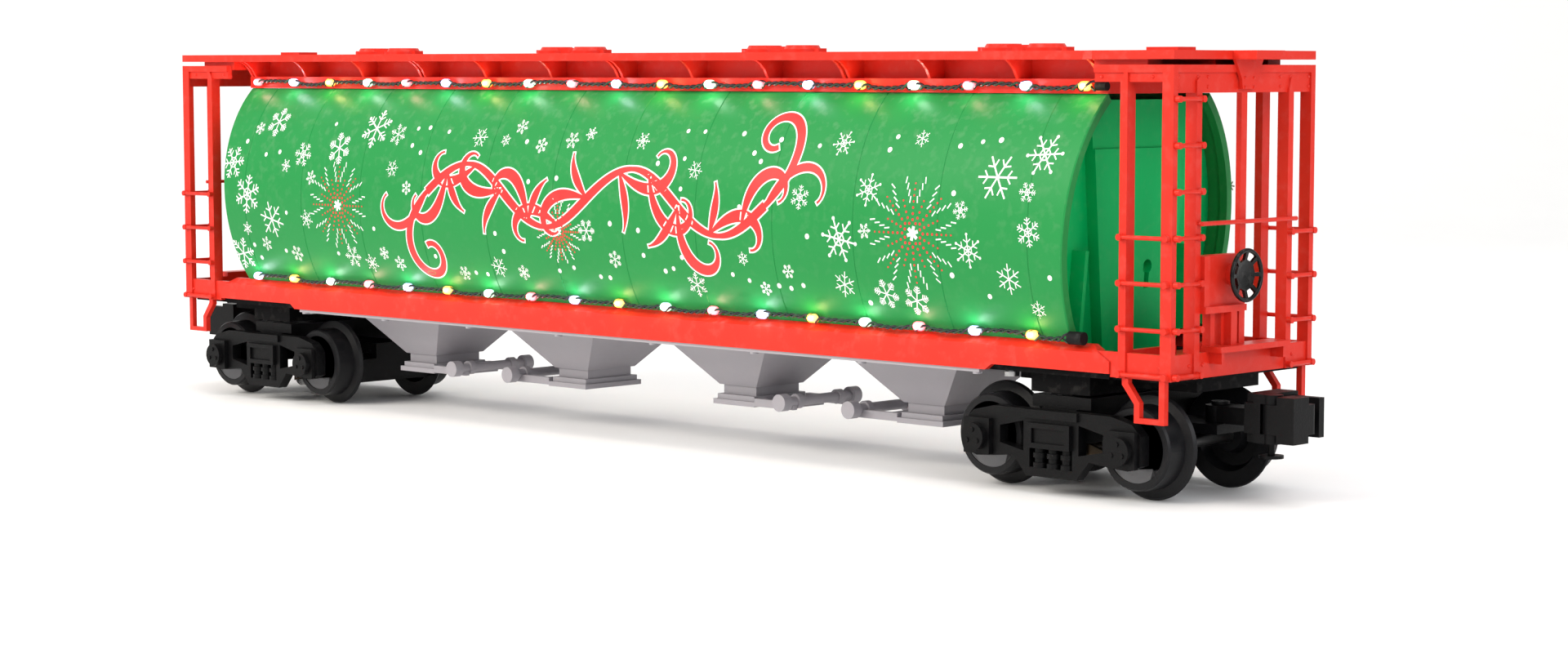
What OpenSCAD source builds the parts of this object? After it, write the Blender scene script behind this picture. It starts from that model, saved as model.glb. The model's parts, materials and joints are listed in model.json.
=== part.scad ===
/* [Body] */
// Length over the end platforms
body_l = 366; // [340:2:400]
// Width over the side sills
body_w = 55; // [52:1:60]
// Gap between the tops of the wheels and the side sill's lower edge
sill_gap = 3.6; // [3:0.1:7]
// Height of the side sill
sill_h = 7.6; // [6.5:0.1:10]
// Length of each open end platform
platform_l = 22; // [18:1:28]

/* [Tank] */
// Widest point of the tank, across the car
tank_w = 65; // [60:1:70]
// Full height of the tank's oval
tank_h = 79.4; // [76:0.2:84]
// Thickness of the tank wall
tank_wall = 1.4; // [1:0.1:2]
// How far each tank end leans out from its foot to its top
tank_lean = 5; // [2:0.5:7]
// Depth of the recess in each tank end
recess_d = 6; // [4:0.5:8]

/* [Roof] */
// Thickness of the roof walk
walk_t = 2; // [1.4:0.1:2.2]
// Number of bracket places along the roof
bracket_n = 13; // [9:2:15]
// Radius of each hatch disc
hatch_r = 4.6; // [4:0.1:5.5]

/* [Hopper bays] */
// Distance between bay centres
bay_pitch = 63.6; // [60:0.2:68]
// Length of a bay at its top, along the car
bay_l = 35.6; // [30:0.2:38]
// Width of a bay at its top, across the car
bay_w = 34; // [28:1:36]

/* [Trucks] */
// Distance of each truck centre in from the end of the body
truck_inset = 35; // [32:1:40]
// Distance between the two axles of a truck
wheelbase = 42; // [40:0.5:44]
// Radius of the wheel flanges
flange_r = 12.25; // [11.5:0.05:12.4]
// Radius of the wheel treads
tread_r = 9.6; // [9:0.1:10]
// Radius of the axles
axle_r = 1.6; // [1.2:0.1:2]
// Radial running clearance of pins and axles
run_fit = 0.06; // [0.03:0.01:0.1]

/* [Lights] */
// Distance between bulbs
bulb_pitch = 17.1; // [16:0.1:17.2]
// Radius of a bulb
bulb_r = 1.15; // [0.9:0.05:1.2]
// Diameter of the twisted pair of wires
wire_d = 0.8; // [0.6:0.1:1]

/* [Hidden] */
$fn = 48;

// Heights, from the flange bottoms up
end_x = body_l / 2;
half_w = body_w / 2;
axle_z = flange_r;
rail_z = flange_r - tread_r;
sill_z = 2 * flange_r + sill_gap;
sill_top = sill_z + sill_h;
floor_t = 2.9;
floor_top = sill_z + floor_t;
foot_part = 0.617;
roof_part = 0.7985;
tank_zc = round(10 * (sill_top + foot_part * tank_h / 2)) / 10;
deck_low = sill_z + 0.7;
deck_t = 1.2;
platform_top = deck_low + 5.7;
shelf_drop = 1.7;
ledge_in = 2.1;
sill_t = 1.6;
sill_rise = 1.4;
rake_l = 5;
rake_h = 3.5;
rib = 0.5;
roof_z = round(10 * (tank_zc + roof_part * tank_h / 2)) / 10;
rail_h = 3.3;
riser_h = 4.4;
rail_half = 20;
riser_half = 15;
walk_z = roof_z + rail_h + riser_h;
beam_top = walk_z - 1.2;
beam_h = 6.2;
return_h = 3.8;
lip_h = 1.7;
beam_low = beam_top - beam_h;
return_low = beam_top - return_h;
platform_x = end_x - platform_l;
truck_x = end_x - truck_inset;
skin_x = end_x - rib;
skin_y = half_w - rib;

// Tank
tank_a = tank_w / 2;
tank_b = tank_h / 2;
tank_steps = 96;
foot_x = platform_x - 6.8;
head_x = foot_x + tank_lean;
rim_in = 2.2;
rim_t = 2;
fit_gap = 0.05;
plate_t = 1.6;

// Ladders and steps
rung_n = 7;
rung_low = sill_z + 1.6;
rung_pitch = (beam_low - 1.3 - rung_low) / (rung_n - 1);
rung_r = 0.5;
rung_gap = 0.2;
stud_r = 0.75;
stud_h = 1.35;
post_l = 3;
post_w = 1.7;
stile_w = 2;
stile_d = 3;
end_stile_y = half_w - 10.7;
side_stile_x = end_x - 14.5;
step_t = 1.5;
step_drop = 9.8;

// Brake gear
brake_y = -5;
brake_z = sill_z + 23.4;
stand_top = brake_z + 4.6;
stand_low = brake_z - 8.2;
brake_pin_r = 0.8;
brake_r = 6.1;
centre_post_w = 2.2;

// Trucks and couplers
king_r = 1.6;
beam_half = 12;
cap_half = 8.5;
cap_y = 21.5;
king_head_r = 3;
frame_in = 22.4;
frame_t = 3;
wheel_back = 14.2;
wheel_w = 7.3;
journal_r = 1;
bolster_half = 5;
bolster_top = sill_z - 5.35;
boss_low = sill_z - 5.3;
bolster_low = axle_z - 0.25;
head_seat = bolster_low + 4;
tongue_z = axle_z + axle_r + 1.3;
tongue_t = 2.2;
tongue_half = 6.2;
coupler_pivot = 29;
rivet_r = 1.2;
coupler_z0 = tongue_z + tongue_t + fit_gap;
coupler_low = coupler_z0 - 3.2;
coupler_h = 11;
lug_t = 2.1;
head_start = 40.1;
knuckle_x = head_start + 6.4;
knuckle_y = -4.6;
knuckle_pin_r = 0.9;
tack_x = head_start + 2.9;
tack_r = 0.8;
pickup_r = 3;
pickup_half = 7;
pickup_x = 6;
pickup_pivot_x = -5;
pickup_pivot_z = rail_z + 6.7;
pickup_z = rail_z + pickup_r;
pickup_pin_r = 0.8;
roller_pin_r = 0.7;

// Bays and gates
bay_z = sill_z - 0.8;
bay_low = bay_z - 11.4;
outlet_l = 13.2;
outlet_w = 17.6;
bay_wall = 1.2;
neck_h = 2.4;
gate_h = 2.6;
gate_z = bay_low - neck_h - gate_h;
shaft_off = 20;
shaft_r = 1.3;
shaft_z = gate_z + 2.4;
capstan_r = 2.2;
flange_half = truck_x - 20;

// Screws
boss_x = truck_x - 16;
boss_y = 20;
screw_r = 0.95;
boss_r = 2.6;

// Lights
bulb_l = 3.4;
top_n = 19;
bottom_n = 18;
top_bulb_y = rail_half + bulb_r + 0.15;
top_bulb_z = roof_z + 1.7;
bottom_bulb_z = sill_top + bulb_r + 0.15;
bottom_bulb_slope = tank_half(bottom_bulb_z + 0.5) - tank_half(bottom_bulb_z - 0.5);
bottom_bulb_y = tank_half(bottom_bulb_z) + (bulb_r + fit_gap) * sqrt(1 + pow(bottom_bulb_slope, 2));
top_bulbs = [for (i = [0:top_n - 1]) (i - (top_n - 1) / 2) * bulb_pitch];
bottom_bulbs = [for (i = [0:bottom_n - 1]) (i - (bottom_n - 1) / 2) * bulb_pitch - 1];
boot_x = foot_x + 1;
boot_l = 4;
wire_sides = 8;

bay_xs = [for (i = [0:3]) (i - 1.5) * bay_pitch];
bracket_pitch = 2 * (foot_x + 5.4) / (bracket_n - 1);
bracket_xs = [for (i = [0:bracket_n - 1]) (i - (bracket_n - 1) / 2) * bracket_pitch];

// Where the raked end of a sill is at a height
function rake_x(z) = platform_x + rake_l - (z - sill_top + rake_h) * (rake_l + 0.7) / rake_h;

// A box between two corners
module slab(x0, x1, y0, y1, z0, z1) {
    translate([x0, y0, z0]) cube([x1 - x0, y1 - y0, z1 - z0]);
}

// The shape and its mirror image on the far side
module both_sides() {
    children();
    mirror([0, 1, 0]) children();
}

// Drawn at the brake end, or turned half round to the other end
module at_end(turned) {
    rotate([0, 0, turned ? 180 : 0]) children();
}

// A round bar across the car, centred
module bar_y(r, x, z, half) {
    translate([x, half, z]) rotate([90, 0, 0]) cylinder(r = r, h = 2 * half);
}

// An outline in X and Z, given thickness across the car
module side_plate(points, y0, y1) {
    translate([0, y1, 0]) rotate([90, 0, 0]) linear_extrude(y1 - y0) polygon(points);
}

// An outline in Y and Z, run along the car
module section_x(points, x0, x1) {
    translate([x0, 0, 0]) rotate([90, 0, 90]) linear_extrude(x1 - x0) polygon(points);
}

// Half the tank's width at a height
function tank_half(z) = tank_a * sqrt(1 - pow((z - tank_zc) / tank_b, 2));

// Points of the tank's oval, drawn in by a distance
function oval(inset) = [for (i = [0:tank_steps - 1])
    let (t = 360 * i / tank_steps)
    [(tank_a - inset) * cos(t), tank_zc + (tank_b - inset) * sin(t)]];

module oval_bar(inset) {
    section_x(oval(inset), -head_x - 10, head_x + 10);
}

// Everything between two leaning end planes, one set back from the tank end by near, one by far
module lean_slice(near, far, low, high) {
    slope = tank_lean / (roof_z - sill_top);
    low_x = foot_x + (low - sill_top) * slope;
    high_x = foot_x + (high - sill_top) * slope;
    side_plate([[low_x - far, low], [low_x - near, low],
        [high_x - near, high], [high_x - far, high]], -tank_a - 1, tank_a + 1);
}

module underframe() {
    color("#1b1b1d")
    difference() {
        union() {
            slab(-platform_x - 4, platform_x + 4, -half_w + sill_t, half_w - sill_t, sill_z, floor_top);
            slab(-end_x + 2, end_x - 2, -half_w + 2.5, half_w - 2.5, sill_z, floor_top);
            for (s = [-1, 1]) translate([s * truck_x, 0, 0]) {
                slab(-8.5, 8.5, -22, 22, boss_low + 0.6, sill_z);
                translate([0, 0, boss_low]) cylinder(r = 6, h = 0.7);
                both_sides() slab(-3, 3, 14.5, 21.5, boss_low + 0.3, boss_low + 0.7);
            }
            for (turned = [false, true]) at_end(turned)
                slab(flange_half + 0.3, truck_x + 31, -beam_half, beam_half, 2 * flange_r + 0.5, sill_z);
        }
        for (s = [-1, 1]) translate([s * truck_x, 0, boss_low - 1]) cylinder(r = king_r + run_fit, h = 20);
        for (s = [-1, 1]) both_sides()
            translate([s * boss_x, boss_y, sill_z - 1]) cylinder(r = screw_r + run_fit, h = 10);
        for (s = [-1, 1]) for (x = [-1, 1]) translate([s * truck_x + x * 6.2, 0, 0])
            both_sides() slab(-1.3, 1.3, 8, 20, boss_low - 1, boss_low + 3);
    }
}

module ballast_weight() {
    color("silver")
    difference() {
        slab(-62, 62, -11, 11, floor_top, floor_top + 3);
        for (x = [-54, 54]) translate([x, 0, floor_top - 1]) cylinder(r = 1.6, h = 6);
    }
}

// One side sill: a pressed channel with a sloping ledge on top and raked ends
module side_sill() {
    profile = [[half_w, sill_z], [half_w, sill_top - shelf_drop], [half_w - ledge_in, sill_top],
        [half_w - 3.45, sill_top], [half_w - 3.45, sill_top - 1.3],
        [half_w - sill_t, sill_top - 1.3], [half_w - sill_t, sill_z]];
    far_x = platform_x + rake_l;
    rise_x = flange_half + 2;
    intersection() {
        section_x(profile, -end_x, end_x);
        side_plate([[-far_x, sill_z + sill_rise], [-rise_x - 2, sill_z + sill_rise], [-rise_x, sill_z],
            [rise_x, sill_z], [rise_x + 2, sill_z + sill_rise], [far_x, sill_z + sill_rise],
            [far_x, sill_top - rake_h], [rake_x(sill_top), sill_top],
            [-rake_x(sill_top), sill_top], [-far_x, sill_top - rake_h]], 0, half_w + 1);
    }
}

// An open end platform: a shallow tray with a step board over the coupler
module end_platform() {
    wall = 1.4;
    color("#e8402a") {
        both_sides() side_plate([[platform_x + rake_l, deck_low], [skin_x, deck_low],
            [skin_x, platform_top], [rake_x(platform_top) + 0.1, platform_top],
            [platform_x + rake_l + 0.1, sill_top - rake_h]], skin_y - wall, skin_y);
        slab(skin_x - wall, skin_x, -skin_y + wall, skin_y - wall, deck_low, platform_top);
        slab(platform_x - 1, skin_x - wall, -skin_y + wall, skin_y - wall, floor_top, floor_top + deck_t);
        slab(skin_x - wall, end_x + 3.6, -13.5, 13.5, platform_top, platform_top + 1.3);
        both_sides() slab(skin_x, end_x + 3, 11.5, 12.5, platform_top - 2.6, platform_top);
        both_sides() slab(platform_x + rake_l, platform_x + rake_l + wall, 4, 21, floor_top + deck_t, platform_top);
    }
}

// Posts and top beam of one end
module end_frame() {
    wall = 1.4;
    plate_x = head_x + 0.5;
    color("#e8402a") {
        slab(skin_x - wall, skin_x, -skin_y, skin_y, beam_low, beam_top);
        slab(skin_x - wall, end_x, -half_w, half_w, beam_top - lip_h, beam_top);
        both_sides() {
            slab(platform_x, skin_x - wall, skin_y - wall, skin_y, return_low, beam_top);
            slab(platform_x, skin_x - wall, skin_y - wall, half_w, beam_top - lip_h, beam_top);
            slab(end_x - post_l, end_x, half_w - post_w, half_w, platform_top, beam_low);
            slab(end_x - post_l, end_x, skin_y, half_w, beam_low, beam_top - lip_h);
            slab(end_x - post_l, end_x, skin_y, half_w, deck_low, platform_top);
            slab(skin_x, end_x, half_w - post_w, half_w, beam_low, beam_top - lip_h);
            slab(skin_x, end_x, half_w - post_w, half_w, deck_low, platform_top);
            slab(plate_x, skin_x - 8, skin_y - wall - 5, skin_y - wall, beam_top, walk_z);
        }
        slab(end_x - 1.9, skin_x, -centre_post_w / 2, centre_post_w / 2, platform_top + 1.3, beam_low);
        slab(plate_x, skin_x - wall, -skin_y + wall, skin_y - wall, beam_top - 1.2, beam_top);
        section_x([[-2.6, beam_low + 0.8], [2.6, beam_low + 0.8], [2.9, beam_top - 3.2],
            [5.4, walk_z], [-5.4, walk_z], [-2.9, beam_top - 3.2]], end_x, end_x + 0.8);
        slab(skin_x, end_x, -2.6, 2.6, beam_low + 0.8, beam_top - lip_h);
    }
}

// A round rung lying across two uprights on the end of the car
module end_rung(z, y0, y1) {
    x = end_x + rung_r + rung_gap;
    translate([x, y1 - rung_r, z]) rotate([90, 0, 0]) cylinder(r = rung_r, h = y1 - y0 - 2 * rung_r, $fn = 16);
    for (y = [y0 + stud_r, y1 - stud_r])
        translate([end_x, y, z]) rotate([0, 90, 0]) cylinder(r = stud_r, h = stud_h, $fn = 16);
}

module side_rung(z, x0, x1) {
    y = half_w + rung_r + rung_gap;
    translate([x0 + rung_r, y, z]) rotate([0, 90, 0]) cylinder(r = rung_r, h = x1 - x0 - 2 * rung_r, $fn = 16);
    for (x = [x0 + stud_r, x1 - stud_r])
        translate([x, half_w, z]) rotate([-90, 0, 0]) cylinder(r = stud_r, h = stud_h, $fn = 16);
}

// Ladder stiles and rungs at both corners of one end
module ladders() {
    color("#e8402a") {
        both_sides() {
            slab(end_x - stile_d, end_x, end_stile_y, end_stile_y + stile_w, platform_top, beam_low);
            slab(skin_x, end_x, end_stile_y, end_stile_y + stile_w, deck_low, platform_top);
            section_x([[end_stile_y, beam_low], [end_stile_y + stile_w, beam_low],
                [end_stile_y + stile_w, beam_low + 2.6], [end_stile_y + 1, beam_low + 3.6]], skin_x, end_x);
            slab(side_stile_x, side_stile_x + stile_w, half_w - stile_d, half_w, platform_top, return_low);
            slab(side_stile_x, side_stile_x + stile_w, skin_y, half_w, deck_low, platform_top);
            side_plate([[side_stile_x, return_low], [side_stile_x + stile_w, return_low],
                [side_stile_x + stile_w, return_low + 2.1], [side_stile_x + 1, return_low + 2.1]],
                skin_y, half_w);
            for (i = [0:3]) {
                side_rung(rung_low + i * rung_pitch, side_stile_x, end_x - 0.4);
                end_rung(rung_low + i * rung_pitch, end_stile_y, half_w - 0.3);
            }
        }
        mirror([0, 1, 0]) for (i = [4:rung_n - 1])
            end_rung(rung_low + i * rung_pitch, end_stile_y, half_w - 0.3);
    }
}

module stirrup_steps() {
    x0 = side_stile_x + 1.2;
    x1 = end_x - 1.6;
    low = deck_low - step_drop;
    points = [[x0, deck_low], [x0, deck_low - 1.4], [x0 + 3.4, deck_low - 5.6], [x0 + 3.4, low],
        [x1, low], [x1, deck_low], [x1 - step_t, deck_low], [x1 - step_t, low + 1.2],
        [x0 + 3.4 + step_t, low + 1.2], [x0 + 3.4 + step_t, deck_low - 5.2],
        [x0 + step_t + 0.2, deck_low - 1], [x0 + step_t + 0.2, deck_low]];
    color("#e8402a") for (turned = [false, true]) at_end(turned) both_sides()
        side_plate(points, skin_y - 1, skin_y - 1 + step_t);
}

module end_handrails() {
    z = rung_low + 3.3 * rung_pitch;
    half = end_stile_y + 1;
    x = end_x + 1.4;
    color("#e8402a") for (turned = [false, true]) at_end(turned) {
        bar_y(0.5, x, z, half + 0.6, $fn = 16);
        both_sides() translate([end_x, half, z]) rotate([0, 90, 0]) cylinder(r = 0.45, h = 1.4, $fn = 16);
    }
}

// Housing that carries the brake wheel, beside the centre post
module brake_stand() {
    y0 = -end_stile_y;
    y1 = -centre_post_w / 2;
    color("#e8402a") difference() {
        union() {
            slab(end_x - 2.6, end_x, y0, y1, stand_low, stand_top);
            slab(end_x - 2.6, end_x + 1.6, y0, y1, stand_low, stand_low + 1.5);
            slab(end_x, end_x + 1.2, y0, y0 + 2, stand_low + 1.5, stand_top);
            translate([end_x, brake_y, brake_z]) rotate([0, 90, 0]) cylinder(r = 2.4, h = 1.6);
            for (y = [y0 + 4.6, y1 - 2.4, y1 - 7])
                slab(end_x - 2.6, end_x - 0.4, y, y + 1.6, platform_top + 1.3, stand_low);
            slab(end_x - 1.6, end_x + 1.6, y1 - 6, y1 - 4, platform_top + 1.3, stand_low);
        }
        translate([end_x - 3, brake_y, brake_z]) rotate([0, 90, 0]) cylinder(r = brake_pin_r + run_fit, h = 6);
    }
}

module brake_wheel() {
    x = end_x + 1.9;
    color("#151515") translate([0, brake_y, brake_z]) rotate([0, 90, 0]) {
        translate([0, 0, end_x - 2]) cylinder(r = brake_pin_r, h = 4.5);
        difference() {
            translate([0, 0, x]) rotate_extrude() polygon([[0, 0], [1.7, 0], [2, 0.8], [5.5, 1.9],
                [5.5, 2.6], [2.4, 1.8], [0, 1.6]]);
            for (i = [0:7]) rotate(45 * i + 22.5) translate([0, 0, x - 1]) linear_extrude(6)
                polygon([[3.4, -0.95], [5.3, -1.65], [5.3, 1.65], [3.4, 0.95]]);
        }
        translate([0, 0, x + 2.3]) rotate_extrude() translate([brake_r - 0.5, 0]) circle(r = 0.5, $fn = 20);
    }
}

// The tank: a tall oval shell whose ends lean out and are stiffened by a rim
module tank_shell() {
    color("#2aa84a") union() {
        intersection() {
            difference() {
                oval_bar(0);
                oval_bar(tank_wall);
            }
            tank_side();
        }
        intersection() {
            oval_bar(tank_wall / 2);
            slab(-head_x, head_x, -tank_a, tank_a, roof_z - tank_wall, roof_z);
            tank_side();
        }
        for (turned = [false, true]) at_end(turned) intersection() {
            difference() {
                oval_bar(tank_wall / 2);
                oval_bar(rim_in);
            }
            lean_slice(0, rim_t, sill_top, roof_z);
        }
        for (s = [-1, 1]) both_sides() difference() {
            intersection() {
                oval_bar(tank_wall / 2);
                union() {
                    translate([s * boss_x, boss_y, floor_top]) cylinder(r = boss_r, h = 15);
                    slab(s * boss_x - 0.8, s * boss_x + 0.8, boss_y, tank_a, sill_top, floor_top + 15);
                }
            }
            translate([s * boss_x, boss_y, floor_top - 1]) cylinder(r = screw_r + run_fit, h = 9);
        }
    }
}

// Side view of the tank, with its leaning ends
module tank_side() {
    side_plate([[-foot_x, sill_top], [foot_x, sill_top], [head_x, roof_z], [-head_x, roof_z]],
        -tank_a - 1, tank_a + 1);
}

// Recessed end wall with a raised centre panel, ribs and two inspection holes
module tank_end() {
    inset = tank_wall + fit_gap;
    wall_top = roof_z - inset;
    panel_low = 10;
    panel_high = 19.5;
    color("#12813a") difference() {
        intersection() {
            oval_bar(inset);
            union() {
                lean_slice(recess_d, recess_d + plate_t, floor_top, wall_top);
                intersection() {
                    lean_slice(rim_t + 1, recess_d + 0.4, floor_top, wall_top);
                    section_x([[-panel_low, floor_top], [panel_low, floor_top], [panel_high, roof_z - 10],
                        [panel_high + 3, roof_z], [-panel_high - 3, roof_z], [-panel_high, roof_z - 10]],
                        0, head_x + 9);
                }
                both_sides() intersection() {
                    lean_slice(rim_t + fit_gap, recess_d + 0.4, sill_top + 0.4, tank_zc - 4);
                    slab(0, head_x + 9, 19.5, 20.7, sill_top, tank_zc - 4);
                }
            }
        }
        both_sides() intersection() {
            lean_slice(0, recess_d - 0.8, floor_top, roof_z);
            translate([0, 4.4, brake_z]) rotate([0, 90, 0]) union() {
                cylinder(r = 1.7, h = 200);
                translate([0, -0.9, 0]) cube([5, 1.8, 200]);
            }
        }
        lean_slice(0, rim_t + 1.6, roof_z - 12.6, roof_z + 1);
        both_sides() slab(0, 200, half_w - 3.5, tank_a, floor_top - 1, sill_top);
    }
}

// Red moulding along the top of the tank: a low rail and a raised riser, hollow beneath
module roof_rail() {
    wall = 1.5;
    color("#e0321f") difference() {
        union() {
            slab(-head_x - 0.2, head_x + 0.2, -rail_half, rail_half, roof_z, roof_z + rail_h);
            slab(-head_x - 0.2, head_x + 0.2, -riser_half, riser_half, roof_z + rail_h, walk_z);
        }
        slab(-head_x + wall, head_x - wall, -rail_half + wall, rail_half - wall, roof_z - 1, roof_z + rail_h - wall);
        slab(-head_x + wall, head_x - wall, -riser_half + wall, riser_half - wall, roof_z, walk_z - wall);
    }
}

// Thin fins that hold up the edge of the roof walk
module walk_brackets() {
    low = roof_z + rail_h;
    points = [[riser_half, low], [rail_half, low], [rail_half + 1.3, low + 2.2],
        [rail_half + 3, low + 3.7], [rail_half + 4.4, walk_z], [riser_half, walk_z]];
    middle = (bracket_n - 1) / 2;
    color("#e0321f") both_sides() for (i = [0:bracket_n - 1]) {
        double = (i - middle) % 3 == 0;
        x = bracket_xs[i];
        inward = x > 0 ? -1 : 1;
        place = abs(i - middle) == middle ? x + inward * 1.9 : x;
        for (d = double ? [-0.85, 0.85] : [0]) section_x(points, place + d - 0.4, place + d + 0.4);
    }
}

module roof_walk() {
    wide_x = platform_x - 0.5;
    side_y = half_w - 2.3;
    ext_x = end_x + 6.5;
    ext_y = 5.5;
    half = [[-ext_x, 0], [-ext_x, ext_y], [-end_x, ext_y], [-end_x, half_w], [-wide_x, half_w],
        [-wide_x + 4.5, side_y], [wide_x - 4.5, side_y], [wide_x, half_w], [end_x, half_w],
        [end_x, ext_y], [ext_x, ext_y], [ext_x, 0]];
    color("#e8402a") {
        both_sides() translate([0, 0, walk_z]) linear_extrude(walk_t) polygon(half);
        for (x = [-1, 1]) translate([x * (platform_x + 1), 0, walk_z + walk_t])
            slab(-4.5, 4.5, -3.4, 3.4, 0, 0.9);
    }
}

// Four twin hatch covers, each on its own base with a latch lug
module roof_hatches() {
    base = walk_z + walk_t;
    disc_x = hatch_r + 2;
    color("#e8402a") for (x = bay_xs) translate([x * 1.25, 0, base]) {
        for (d = [-1, 1]) translate([d * disc_x, 0, 0]) {
            cylinder(r = hatch_r + 1, h = 0.9);
            translate([0, 0, 0.9]) cylinder(r1 = hatch_r + 0.2, r2 = hatch_r - 0.4, h = 1);
        }
        slab(-disc_x, disc_x, -3, 3, 0, 1.6);
        for (d = [-1, 1]) slab(d * (disc_x + hatch_r + 1) - 1.4, d * (disc_x + hatch_r + 1) + 1.4, -1.5, 1.5, 0, 1.1);
    }
}

module hopper_flange() {
    color("#b9b8bd") {
        slab(-flange_half, flange_half, -half_w + 0.4, half_w - 0.4, bay_z, sill_z);
        both_sides() for (i = [0:7]) translate([(i - 3.5) * (2 * flange_half - 3) / 7, half_w - 1.6, bay_z - 0.5])
            cylinder(r = 1.1, h = 0.5, $fn = 20);
    }
}

// Wedge between a rectangle at the top and a smaller one at the bottom
module funnel(top_l, top_w, low_l, low_w, z0, z1) {
    a = top_l / 2;
    b = top_w / 2;
    c = low_l / 2;
    d = low_w / 2;
    polyhedron(points = [[-c, -d, z0], [c, -d, z0], [c, d, z0], [-c, d, z0],
        [-a, -b, z1], [a, -b, z1], [a, b, z1], [-a, b, z1]],
        faces = [[0, 1, 2, 3], [7, 6, 5, 4], [0, 4, 5, 1], [1, 5, 6, 2], [2, 6, 7, 3], [3, 7, 4, 0]]);
}

// One sloping hopper bay with its outlet neck
module bay(i) {
    w = 2 * bay_wall;
    color("#b9b8bd") translate([bay_xs[i], 0, 0]) difference() {
        union() {
            funnel(bay_l, bay_w, outlet_l, outlet_w, bay_low, bay_z);
            slab(-outlet_l / 2 + 0.8, outlet_l / 2 - 0.8, -outlet_w / 2 + 0.8, outlet_w / 2 - 0.8,
                bay_low - neck_h, bay_low);
        }
        funnel(bay_l - w, bay_w - w, outlet_l - w, outlet_w - w, bay_low + 0.6, bay_z + 0.01);
        slab(-outlet_l / 2 + 2, outlet_l / 2 - 2, -outlet_w / 2 + 2, outlet_w / 2 - 2,
            bay_low - neck_h - 1, bay_low + 1);
    }
}

// Toward the middle of each pair of bays: -1 or 1
function shaft_side(i) = i % 2 == 0 ? 1 : -1;

// Sliding outlet gates in their frames, each with two rails reaching to its shaft
module outlet_gates() {
    color("#b9b8bd") for (i = [0:3]) translate([bay_xs[i], 0, 0]) {
        s = shaft_side(i);
        slab(-7.4, 7.4, -10.4, 10.4, gate_z, gate_z + 1.3);
        slab(-6.6, 6.6, -9.6, 9.6, gate_z + 1.3, gate_z + gate_h);
        both_sides() difference() {
            slab(min(s * 7.4, s * (shaft_off + 1)), max(s * 7.4, s * (shaft_off + 1)),
                8.8, 10.4, gate_z + 0.3, gate_z + 2.3);
            bar_y(shaft_r + run_fit, s * shaft_off, shaft_z, 30);
        }
        slab(min(s * 7.4, s * 17.5), max(s * 7.4, s * 17.5), -5, 5, gate_z + 0.3, gate_z + 1.1);
    }
}

// Cross shafts with capstan heads at both ends
module gate_shafts() {
    color("#b9b8bd") for (i = [0:3]) translate([bay_xs[i] + shaft_side(i) * shaft_off, 0, 0]) {
        bar_y(shaft_r, 0, shaft_z, 12);
        both_sides() {
            translate([0, 14.6, shaft_z]) rotate([90, 0, 0]) cylinder(r = capstan_r, h = 2.8);
            translate([0, 8.6, shaft_z]) rotate([90, 0, 0]) cylinder(r = capstan_r - 0.3, h = 1.8);
        }
    }
}

// Circuit board on four legs over the weight, with its rectifier and capacitor
module light_board() {
    z = floor_top + 7;
    color("#1f6a3d") {
        slab(-34, 34, -10, 10, z, z + 1.6);
        for (x = [-30, 30]) both_sides() translate([x, 8, floor_top + 3]) cylinder(r = 1.5, h = 4, $fn = 20);
        translate([-20, 0, z + 1.6]) cylinder(r = 4, h = 9);
        slab(-2, 8, -4, 4, z + 1.6, z + 4.6);
        slab(18, 30, -7, 7, z + 1.6, z + 5.6);
    }
}

// One bulb: a small capsule lying along the wires
module bulb() {
    straight = bulb_l / 2 - bulb_r;
    rotate([0, 90, 0]) rotate_extrude($fn = 20) intersection() {
        union() {
            translate([0, straight]) circle(r = bulb_r);
            translate([0, -straight]) circle(r = bulb_r);
            translate([-bulb_r, -straight]) square([2 * bulb_r, 2 * straight]);
        }
        translate([0, -bulb_l]) square([2 * bulb_r, 2 * bulb_l]);
    }
}

// Every fourth bulb of each string, from a first place
module bulbs(top_first, bottom_first) {
    both_sides() {
        for (i = [top_first:4:top_n - 1]) translate([top_bulbs[i], top_bulb_y, top_bulb_z]) bulb();
        for (i = [bottom_first:4:bottom_n - 1])
            translate([bottom_bulbs[i], bottom_bulb_y, bottom_bulb_z]) bulb();
    }
}

// A tube through a list of points that run along the car
module wire(path) {
    r = wire_d / 2;
    n = wire_sides;
    m = len(path);
    points = [for (p = path) for (k = [0:n - 1])
        [p[0], p[1] + r * cos(360 * k / n), p[2] + r * sin(360 * k / n)]];
    sides = [for (j = [0:m - 2]) for (k = [0:n - 1])
        [j * n + k, j * n + (k + 1) % n, (j + 1) * n + (k + 1) % n, (j + 1) * n + k]];
    polyhedron(points = points, faces = concat([[for (k = [0:n - 1]) n - 1 - k]],
        [for (f = sides) [f[0], f[1], f[2], f[3]]], [[for (k = [0:n - 1]) (m - 1) * n + k]]));
}

module wires_top() {
    ends = [[head_x - 2, top_bulb_y, top_bulb_z]];
    path = concat([for (x = top_bulbs) [x, top_bulb_y, top_bulb_z]], ends);
    color("#1d2a20") both_sides() wire(path);
}

module wires_bottom() {
    path = concat([for (x = bottom_bulbs) [x, bottom_bulb_y, bottom_bulb_z]],
        [[boot_x, bottom_bulb_y, bottom_bulb_z]]);
    color("#1d2a20") both_sides() wire(path);
}

// Rubber boots where the wires turn in at the brake end
module wire_boots() {
    color("#0c0c0c") both_sides() {
        translate([boot_x, bottom_bulb_y, bottom_bulb_z]) rotate([0, 90, 0]) cylinder(r = 1.5, h = boot_l);
        translate([head_x - 2, top_bulb_y, top_bulb_z]) rotate([0, 90, 0]) cylinder(r = 1, h = 3);
    }
}

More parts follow.
